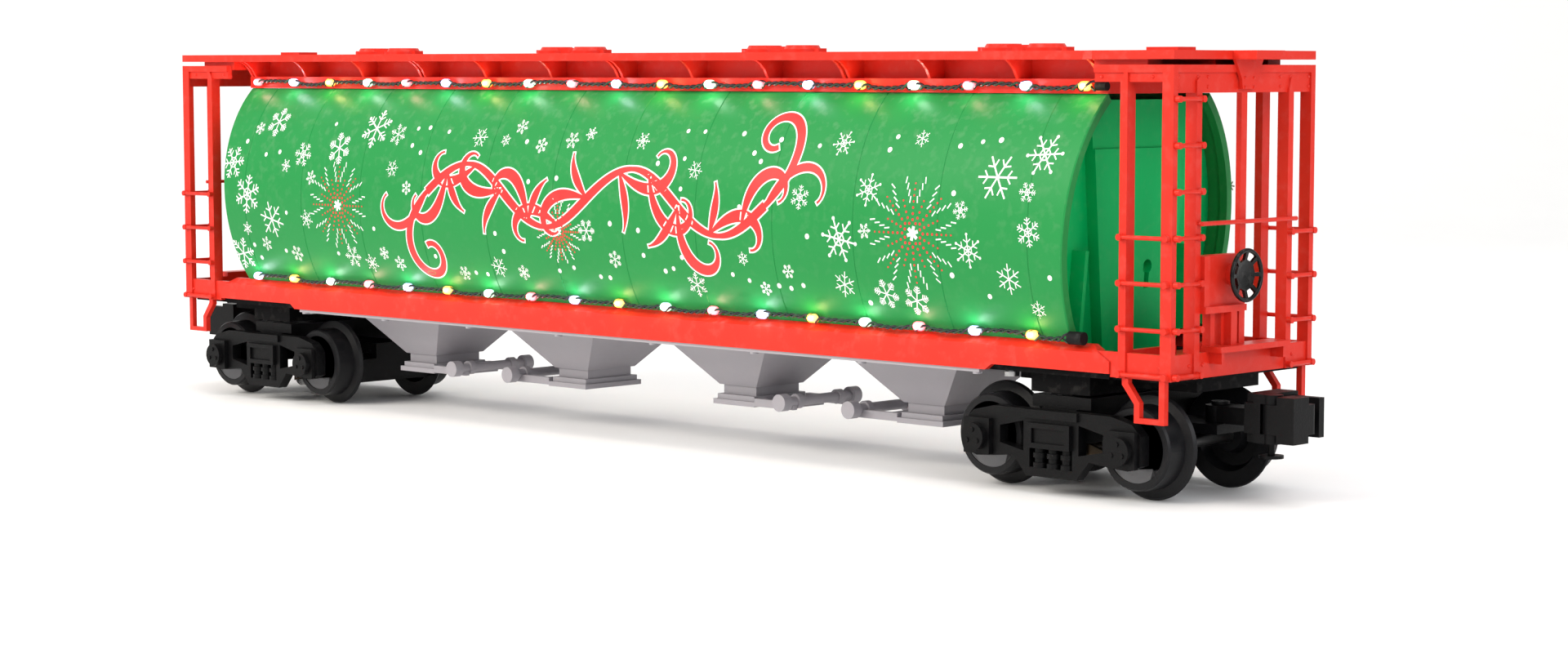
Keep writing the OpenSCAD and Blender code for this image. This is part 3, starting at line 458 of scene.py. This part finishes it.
def build_shell_side(bm, side):
    rows = []
    for i in range(ANGLE_STEPS + 1):
        angle = LOW_ANGLE + (HIGH_ANGLE - LOW_ANGLE) * i / ANGLE_STEPS
        rows.append([bm.verts.new((p.x, side * p.y, p.z)) for p in shell_loop(angle)])
    for one, two in zip(rows, rows[1:]):
        for k in range(len(one)):
            j = (k + 1) % len(one)
            bm.faces.new((one[k], one[j], two[j], two[k]))
    bm.faces.new(rows[0])
    bm.faces.new(rows[-1][::-1])


mesh = bmesh.new()
for side in (-1, 1):
    build_shell_side(mesh, side)
crown_y = oval_point(HIGH_ANGLE, WALL)[0]
add_box(mesh, (-HEAD_X + 12, -crown_y, ROOF_Z - WALL), (HEAD_X - 12, crown_y, ROOF_Z - 0.1))
tank = make_piece("tank_skin", mesh, MATERIALS["tank_green"], smooth=30)
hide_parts("tank_shell")
print("tank skin with", len(SEAMS), "seams")

# %% [markdown]
# ## The print on the tank
# The print is drawn flat: u runs along the wagon and v up the curved side. Wrapping lays it on the oval.

# %% Wrap flat shapes onto the tank
ARC_STEPS = 400
ARC = [0.0]
for i in range(ARC_STEPS):
    t0 = LOW_ANGLE + (HIGH_ANGLE - LOW_ANGLE) * i / ARC_STEPS
    t1 = LOW_ANGLE + (HIGH_ANGLE - LOW_ANGLE) * (i + 1) / ARC_STEPS
    y0, z0 = oval_point(t0, SKIN_IN)
    y1, z1 = oval_point(t1, SKIN_IN)
    ARC.append(ARC[-1] + math.hypot(y1 - y0, z1 - z0))
ARC_MIDDLE = ARC[round(ARC_STEPS * -LOW_ANGLE / (HIGH_ANGLE - LOW_ANGLE))]


def angle_at(v):
    """Angle on the oval at an arc length v above the widest point."""
    wanted = min(max(v + ARC_MIDDLE, 0.0), ARC[-1])
    low, high = 0, ARC_STEPS
    while high - low > 1:
        middle = (low + high) // 2
        if ARC[middle] <= wanted:
            low = middle
        else:
            high = middle
    part = (wanted - ARC[low]) / (ARC[high] - ARC[low])
    return LOW_ANGLE + (HIGH_ANGLE - LOW_ANGLE) * (low + part) / ARC_STEPS


def wrap(side, u, v, lift):
    """A point of the flat print on the near side (-1) or the far side (1)."""
    y, z = oval_point(angle_at(v), SKIN_IN - lift)
    return Vector((-side * u, side * y, z))


STROKE_STEP = 1.1


def add_ribbon(bm, side, path, lift, grow=0.0):
    """A flat band along (u, v, width) points."""
    if len(path) < 2:
        return
    pairs = []
    last = len(path) - 1
    for i, (u, v, width) in enumerate(path):
        u0, v0, _ = path[max(i - 1, 0)]
        u1, v1, _ = path[min(i + 1, last)]
        length = math.hypot(u1 - u0, v1 - v0) or 1.0
        du, dv = (u1 - u0) / length, (v1 - v0) / length
        push = -grow if i == 0 else grow if i == last else 0.0
        cu, cv = u + du * push, v + dv * push
        half = width / 2 + grow
        pairs.append((bm.verts.new(wrap(side, cu - dv * half, cv + du * half, lift)),
                      bm.verts.new(wrap(side, cu + dv * half, cv - du * half, lift))))
    for (a, b), (c, d) in zip(pairs, pairs[1:]):
        bm.faces.new((a, b, d, c))


def add_stroke(bm, side, start, end, width, lift):
    length = math.hypot(end[0] - start[0], end[1] - start[1])
    count = max(1, math.ceil(length / STROKE_STEP))
    path = []
    for i in range(count + 1):
        part = i / count
        path.append((start[0] + (end[0] - start[0]) * part, start[1] + (end[1] - start[1]) * part, width))
    add_ribbon(bm, side, path, lift)


def add_spot(bm, side, u, v, radius, lift, corners=12):
    ring = []
    for i in range(corners):
        turn = 2 * math.pi * i / corners
        ring.append(bm.verts.new(wrap(side, u + radius * math.cos(turn), v + radius * math.sin(turn), lift)))
    bm.faces.new(ring)


def add_flake(bm, side, u, v, radius, kind, turn, lift):
    """A six-armed snowflake. Kind sets how many pairs of twigs an arm has and what its heart is."""
    width = max(0.22, radius * 0.085)
    pairs = 1 + kind % 3
    for arm in range(6):
        a = turn + arm * math.pi / 3
        tip = (u + radius * math.cos(a), v + radius * math.sin(a))
        add_stroke(bm, side, (u, v), tip, width, lift)
        for k in range(pairs):
            along = radius * (0.42 + 0.5 * k / pairs + 0.08)
            twig = radius * (0.34 - 0.07 * k)
            root = (u + along * math.cos(a), v + along * math.sin(a))
            for way in (-1, 1):
                b = a + way * math.radians(55)
                end = (root[0] + twig * math.cos(b), root[1] + twig * math.sin(b))
                add_stroke(bm, side, root, end, width * 0.85, lift + 0.002)
        if kind > 2:
            add_spot(bm, side, tip[0], tip[1], width * 1.1, lift + 0.003)
    if kind % 2:
        for arm in range(6):
            a = turn + arm * math.pi / 3
            b = a + math.pi / 3
            ring = radius * 0.32
            add_stroke(bm, side, (u + ring * math.cos(a), v + ring * math.sin(a)),
                       (u + ring * math.cos(b), v + ring * math.sin(b)), width * 0.85, lift + 0.004)


print("arc of", round(ARC[-1], 1), "mm from sill to roof")

# %% [markdown]
# The flourish is a garland: one long waving vine with brush strokes curling off it, and no letters.

# %% Garland shapes
VINE_HALF = 64.0
VINE_V = 4.0
VINE_RISE = 8.0
VINE_WAVE = 64.0


def vine_v(u):
    return VINE_V + VINE_RISE * math.sin(2 * math.pi * u / VINE_WAVE)


def vine_heading(u):
    return math.atan(VINE_RISE * 2 * math.pi / VINE_WAVE * math.cos(2 * math.pi * u / VINE_WAVE))


def vine():
    count = 130
    path = []
    for i in range(count + 1):
        u = -VINE_HALF + 2 * VINE_HALF * i / count
        path.append((u, vine_v(u), 1.2 + 1.3 * abs(math.cos(2 * math.pi * u / VINE_WAVE))))
    return path


def swash(u, v, heading, length, bend_start, bend_end, thin, thick):
    """A brush stroke whose bend tightens as it runs, full in the middle and thin at the ends."""
    count = max(16, int(length / 0.8))
    step = length / count
    path = []
    for i in range(count + 1):
        part = i / count
        full = math.sin(math.pi * min(1.0, part * 1.05)) ** 1.2
        path.append((u, v, thin + (thick - thin) * max(0.0, full)))
        heading += (bend_start + (bend_end - bend_start) * part ** 1.6) * step
        u += step * math.cos(heading)
        v += step * math.sin(heading)
    return path


def garland():
    chooser = random.Random(4)
    strokes = [vine()]
    for way in (-1, 1):
        u = way * VINE_HALF
        heading = vine_heading(u) + (math.pi if way < 0 else 0)
        strokes.append(swash(u, vine_v(u), heading, 46, 0.03, 0.30, 1.5, 2.6))
        strokes.append(swash(u, vine_v(u), heading + 0.35, 30, -0.02, -0.28, 0.6, 2.2))
    count = 11
    for i in range(count):
        u = -VINE_HALF + 8 + (2 * VINE_HALF - 16) * i / (count - 1)
        way = 1 if i % 2 else -1
        lift_way = way if vine_v(u) * way < VINE_V * way + 4 else -way
        forward = 0 if u > 0 else math.pi
        turn = lift_way if u > 0 else -lift_way
        heading = vine_heading(u) + forward + turn * 0.85
        length = chooser.uniform(25, 33)
        strokes.append(swash(u, vine_v(u), heading, length, -turn * 0.01, -turn * 0.36, 0.6, 3.1))
        if i % 3 != 1:
            side_heading = heading + turn * 0.55
            side_bends = (turn * 0.02, turn * 0.12)
            strokes.append(swash(u, vine_v(u), side_heading, length * 0.5, *side_bends, 0.5, 2.4))
    return strokes


GARLAND = garland()
print(len(GARLAND), "garland strokes")

# %% [markdown]
# ## Flakes, bursts and garland
# Flakes are scattered by a seeded chooser that keeps them apart. Each side gets the same print.

# %% Print on both sides
LIFT = 0.025


def near_garland(u, v, margin):
    return any(abs(u - p[0]) < margin and abs(v - p[1]) < margin for path in GARLAND for p in path[::3])


def scatter_flakes():
    """Big flakes near both ends, smaller ones and dots between, none touching."""
    chooser = random.Random(5)
    placed = []
    bursts = [(-103.0, -1.0, 11.5), (112.0, -1.0, 12.5), (-11.0, -5.0, 8.0)]
    plan = [(10, 4.6, 5.8, 0.6), (16, 3.0, 3.9, 0.5), (30, 1.7, 2.6, 0.5), (60, 0.6, 0.75, 0.9)]
    for count, small, large, gap in plan:
        done = 0
        tries = 0
        while done < count and tries < 6000:
            tries += 1
            u = chooser.uniform(-154, 154)
            v = chooser.uniform(-19, 24)
            radius = chooser.uniform(small, large)
            if radius > 3.1 and abs(u) < 78:
                continue
            if any(math.hypot(u - p[0], v - p[1]) < radius + p[2] + gap + 0.6 for p in placed):
                continue
            if any(math.hypot(u - b[0], v - b[1]) < radius + b[2] * 0.86 for b in bursts):
                continue
            if abs(u) < 90 and near_garland(u, v, radius + 1.0):
                continue
            placed.append((u, v, radius))
            done += 1
    return placed, bursts


FLAKES, BURSTS = scatter_flakes()


def add_burst(white, red, side, u, v, radius):
    """Rays of red and white dashes round a small six-pointed star."""
    for ray in range(16):
        a = ray * math.pi / 8
        reach = radius * (1.0 if ray % 2 == 0 else 0.72)
        count = 7 if ray % 2 == 0 else 5
        for k in range(count):
            r = reach * (0.2 + 0.8 * (k + 0.5) / count)
            size = 0.38 - 0.14 * k / count
            add_spot(red, side, u + r * math.cos(a), v + r * math.sin(a), size, LIFT, 8)
    dash = radius * 0.13
    for arm in range(8):
        a = (arm + 0.5) * math.pi / 4
        for k in range(4):
            r = radius * (0.58 + 0.13 * k)
            for way in (-1, 1):
                b = a + way * (0.23 - 0.03 * k)
                start = (u + r * math.cos(b), v + r * math.sin(b))
                end = (start[0] + dash * math.cos(a + way * 0.5), start[1] + dash * math.sin(a + way * 0.5))
                add_stroke(white, side, start, end, 0.34, LIFT + 0.003)
    add_spot(white, side, u, v, radius * 0.08, LIFT + 0.006)
    for arm in range(6):
        a = 0.3 + arm * math.pi / 3
        end = (u + radius * 0.14 * math.cos(a), v + radius * 0.14 * math.sin(a))
        add_stroke(white, side, (u, v), end, radius * 0.07, LIFT + 0.008)


for side, label in ((-1, "near"), (1, "far")):
    white = bmesh.new()
    red = bmesh.new()
    for number, (u, v, radius) in enumerate(FLAKES):
        if radius < 1.0:
            add_spot(white, side, u, v, radius, LIFT)
        else:
            add_flake(white, side, u, v, radius, number % 5, number * 0.37, LIFT)
    for u, v, radius in BURSTS:
        add_burst(white, red, side, u, v, radius)
    for number, path in enumerate(GARLAND):
        add_ribbon(white, side, path, LIFT + 0.001 + number * 0.0002, 0.42)
        add_ribbon(red, side, path, LIFT + 0.014 + number * 0.0002)
    make_piece("print_white_" + label, white, PRINT_WHITE)
    make_piece("print_red_" + label, red, PRINT_RED)
print(len(FLAKES), "flakes and dots on each side")

# %% [markdown]
# ## The strings of lights
# Each string is a twisted pair that opens round every bulb. The bulbs also light what is near them.

# %% Twisted wires


def bulb_centres(side, upper):
    """Middles of the bulbs of one string, with their colour, read from the CAD bulbs."""
    middle_z = (SILL_TOP + ROOF_Z) / 2
    found = []
    for colour in ("red", "blue", "amber", "green"):
        node = NODES["bulbs_" + colour]
        points = [v.co / MM for v in node.data.vertices]
        picked = [p for p in points if (p.y > 0) == (side > 0) and (p.z > middle_z) == upper]
        picked.sort(key=lambda p: p.x)
        group = []
        for p in picked:
            if group and p.x - group[-1].x > 6:
                found.append((sum(group, Vector()) / len(group), colour))
                group = []
            group.append(p)
        found.append((sum(group, Vector()) / len(group), colour))
    return sorted(found, key=lambda item: item[0].x)


def twisted_pair(centres, end_point, phase, seed):
    """Two strands as lists of points."""
    chooser = random.Random(seed)
    sway = [(chooser.uniform(0.0, 0.5), chooser.uniform(-0.75, 0.5)) for _ in centres]
    anchors = centres + [end_point]
    strands = ([], [])
    outward = 1 if end_point.y > 0 else -1
    step = 0.3
    travelled = 0.0
    for i, (start, stop) in enumerate(zip(anchors, anchors[1:])):
        count = max(2, int((stop - start).length / step))
        sy, sz = sway[i]
        for k in range(count):
            part = k / count
            base = start.lerp(stop, part)
            bow = math.sin(math.pi * part)
            base = base + Vector((0, outward * sy * bow, sz * bow))
            away = min(part, 1 - part) * (stop - start).length
            open_by = 0.3 + 0.75 * math.exp(-(away / 2.3) ** 2)
            twist = 2 * math.pi * travelled / 4.2 + phase
            for way, strand in ((0, strands[0]), (math.pi, strands[1])):
                turn = twist + way
                strand.append(base + open_by * Vector((0, outward * math.cos(turn) * 0.75, math.sin(turn))))
            travelled += step * (0.35 + 0.65 * min(1.0, away / 2.6))
    return strands


WIRE_GREEN = make_surface("green varnished wire", (0.004, 0.03, 0.014), 0.28)
WIRE_DARK = make_surface("dark varnished wire", (0.008, 0.006, 0.012), 0.28)
LAMPS = []
for upper, label in ((True, "top"), (False, "bottom")):
    cad_wires = "wires_" + label
    green = bmesh.new()
    dark = bmesh.new()
    end_x = box_mm(cad_wires)[1].x
    for side in (-1, 1):
        centres = bulb_centres(side, upper)
        LAMPS += centres
        points = [c for c, _ in centres]
        end_point = Vector((end_x, points[-1].y, points[-1].z))
        one, two = twisted_pair(points, end_point, side * 0.7, 3 + side)
        add_tube(green, one, 0.29, 6)
        add_tube(dark, two, 0.29, 6)
    wire_piece = make_piece("wire_green_" + label, green, WIRE_GREEN)
    make_piece("wire_dark_" + label, dark, WIRE_DARK)
    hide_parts(cad_wires)
print(len(LAMPS), "bulbs found")

# %% [markdown]
# Each bulb also gets a small lamp just outside it, in its own tint.

# %% Light from the bulbs
LAMP_COLOURS = {"red": (1.0, 0.42, 0.42), "blue": (0.82, 0.88, 1.0), "amber": (1.0, 0.74, 0.3),
                "green": (0.8, 1.0, 0.85)}
for number, (centre, colour) in enumerate(LAMPS):
    data = bpy.data.lights.new("bulb_light_%02d" % number, "POINT")
    data.energy = 0.0021
    data.color = LAMP_COLOURS[colour]
    data.shadow_soft_size = 0.0012
    lamp = bpy.data.objects.new(data.name, data)
    outward = 1 if centre.y > 0 else -1
    lamp.location = (centre + Vector((0, outward * 1.7, 0))) * MM
    bpy.context.scene.collection.objects.link(lamp)
print("bulb lights placed")

# %% [markdown]
# ## Small castings
# Rivets, screw heads and other raised details sit on the red ends, the sills and the running gear.

# %% Rivets and screws on the ends


def mirrored(point, sx, sy):
    return Vector((point[0] * sx, point[1] * sy, point[2]))


BEAM_TOP = FRAME_B[1].z - LIP_UNDER_WALK
rivets = bmesh.new()
for sx in (-1, 1):
    for sy in (-1, 1):
        for y in (HALF_W - 2.2, HALF_W - 9.6, HALF_W - 13.5):
            for z in (BEAM_TOP - 2.7, BEAM_TOP - 4.9):
                add_dome(rivets, mirrored((END_X - 0.5, y, z), sx, sy), (sx, 0, 0), 0.42, 0.34)
        for x in (END_X - 20, END_X - 13.5, END_X - 6):
            add_dome(rivets, mirrored((x, HALF_W - 0.5, BEAM_TOP - 2.7), sx, sy), (0, sy, 0), 0.42, 0.34)
        for x in (END_X - 13.4, END_X - 3.2):
            add_dome(rivets, mirrored((x, HALF_W - 0.5, 31.5), sx, sy), (0, sy, 0), 0.45, 0.36)
    for y in (-1.7, 1.7):
        for z in (BEAM_TOP - 5, BEAM_TOP - 2.9):
            add_dome(rivets, mirrored((END_X + 0.8, y, z), sx, 1), (sx, 0, 0), 0.36, 0.3)
    for y in (-20.0, -15.0, 15.0, 20.0):
        add_dome(rivets, mirrored((END_X - 0.5, y, 31.8), sx, 1), (sx, 0, 0), 0.45, 0.36)
make_piece("end_rivets", rivets, MATERIALS["body_red"])

MARK_V = -19.0
marks = bmesh.new()
for side in (-1, 1):
    for k in range(23):
        middle = (k - 11) * SEAM_PITCH / 2
        lens = []
        for i in range(25):
            turn = 2 * math.pi * i / 24
            lens.append((middle + 1.7 * math.cos(turn), MARK_V + 0.5 * math.sin(turn), 0.16))
        add_ribbon(marks, side, lens, 0.05)
make_piece("tank_marks", marks, MATERIALS["tank_green"])
print("rivets on both ends")

# %% [markdown]
# Each wheel gets a thin ring of bright steel on its outer face, just inside the tread: a painted highlight on
# the rim's edge.

# %% Wheel rims with a painted highlight
for end in "ab":
    for number in "12":
        low, high = box_mm("wheels_" + end + number)
        centre = (low + high) / 2
        tread = (high.z - low.z) / 2 - FLANGE_DEPTH
        rings = bmesh.new()
        for side in (-1, 1):
            place = facing(Vector((centre.x, side * (high.y - 0.02), centre.z)), (0, side, 0))
            # The thin steel ring on each wheel face is a painted highlight on the rim's edge.
            profile = [(tread - 0.85, -0.2), (tread - 0.8, 0.015), (tread - 0.55, 0.015), (tread - 0.5, -0.2)]
            add_turned(rings, profile, place, 64)
        make_piece("painted_rim_highlight_" + end + number, rings, RIM_HIGHLIGHT_STEEL, "wheelset_" + end + number)
print("four wheelsets with a painted rim highlight")

# %% [markdown]
# ## Floor, lamps and camera
# A pale sweep stands behind the wagon, clear when seen from its back, and large soft lamps light it.

# %% Floor
CAMERA_TURN = math.radians(43.5)
CAMERA_TILT = math.radians(90 - 4.96)
SWEEP_HALF = 3500
FLOOR_COLOUR = (0.86, 0.86, 0.86)
floor_material = make_surface("pale floor", FLOOR_COLOUR, 0.6, grain=0.02, uneven=0.01, dust=0.0)
tree = floor_material.node_tree
one_sided = add_node(tree, "ShaderNodeMixShader")
behind = add_node(tree, "ShaderNodeNewGeometry").outputs["Backfacing"]
tree.links.new(behind, one_sided.inputs[0])
tree.links.new(tree.nodes["Principled BSDF"].outputs[0], one_sided.inputs[1])
tree.links.new(add_node(tree, "ShaderNodeBsdfTransparent").outputs[0], one_sided.inputs[2])
tree.links.new(one_sided.outputs[0], tree.nodes["Material Output"].inputs["Surface"])
sweep = bmesh.new()
profile = [(-2200.0, 0.0), (900.0, 0.0)]
for i in range(1, 13):
    turn = math.radians(90 * i / 12)
    profile.append((900 + 600 * math.sin(turn), 600 - 600 * math.cos(turn)))
profile.append((1500.0, 3000.0))
across = Vector((math.cos(CAMERA_TURN), math.sin(CAMERA_TURN), 0))
ahead = Vector((-across.y, across.x, 0))
columns = []
for out, height in profile:
    row = ahead * out + Vector((0, 0, height))
    columns.append([sweep.verts.new(row + across * w) for w in (-SWEEP_HALF, SWEEP_HALF)])
for one, two in zip(columns, columns[1:]):
    sweep.faces.new((one[0], one[1], two[1], two[0]))
bmesh.ops.scale(sweep, vec=(MM, MM, MM), verts=sweep.verts)
floor_mesh = bpy.data.meshes.new("floor")
sweep.to_mesh(floor_mesh)
sweep.free()
floor_mesh.shade_smooth()
floor = bpy.data.objects.new("floor", floor_mesh)
floor.data.materials.append(floor_material)
bpy.context.scene.collection.objects.link(floor)
floor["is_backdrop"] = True
print("sweep of", len(columns), "rows")

# %% [markdown]
# Three area lamps and a pale sky give soft light with no hard shadow.

# %% Lamps


def add_area(name, location, target, size, energy, colour=(1, 1, 1)):
    data = bpy.data.lights.new(name, "AREA")
    data.shape = "RECTANGLE"
    data.size, data.size_y = size
    data.energy = energy
    data.color = colour
    lamp = bpy.data.objects.new(name, data)
    lamp.location = location
    lamp.rotation_euler = (Vector(target) - Vector(location)).to_track_quat("-Z", "Y").to_euler()
    bpy.context.scene.collection.objects.link(lamp)


MIDDLE = (0.0, 0.0, 0.05)
add_area("key", (-0.35, -1.1, 0.75), MIDDLE, (1.0, 0.7), 18, (1.0, 0.95, 0.87))
add_area("end fill", (1.15, -0.35, 0.55), MIDDLE, (0.7, 0.6), 7, (0.95, 0.97, 1.0))
add_area("top", (0.1, 0.1, 1.5), MIDDLE, (1.6, 1.0), 12)
world = bpy.data.worlds.new("studio")
world.use_nodes = True
world.node_tree.nodes["Background"].inputs["Color"].default_value = (1, 1, 1, 1)
world.node_tree.nodes["Background"].inputs["Strength"].default_value = 0.62
bpy.context.scene.world = world
bpy.context.scene.view_settings.view_transform = "Standard"
print("three area lamps and a pale sky")

# %% [markdown]
# The camera stands low, off the brake wheel end, and looks along the near side.

# %% Camera
camera_data = bpy.data.cameras.new("camera")
camera_data.lens = 69.94
camera_data.sensor_width = 36
camera = bpy.data.objects.new("camera", camera_data)
camera.location = (0.5799, -0.5691, 0.0973)
camera.rotation_euler = (CAMERA_TILT, 0, CAMERA_TURN)
bpy.context.scene.collection.objects.link(camera)
bpy.context.scene.camera = camera
print("camera", camera_data.lens, "mm lens")

# %% [markdown]
# The box of the dressed wagon is printed.

# %% Print the size of the dressed wagon
low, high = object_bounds()
print("visual box", [round(v / MM, 2) for v in low], [round(v / MM, 2) for v in high])
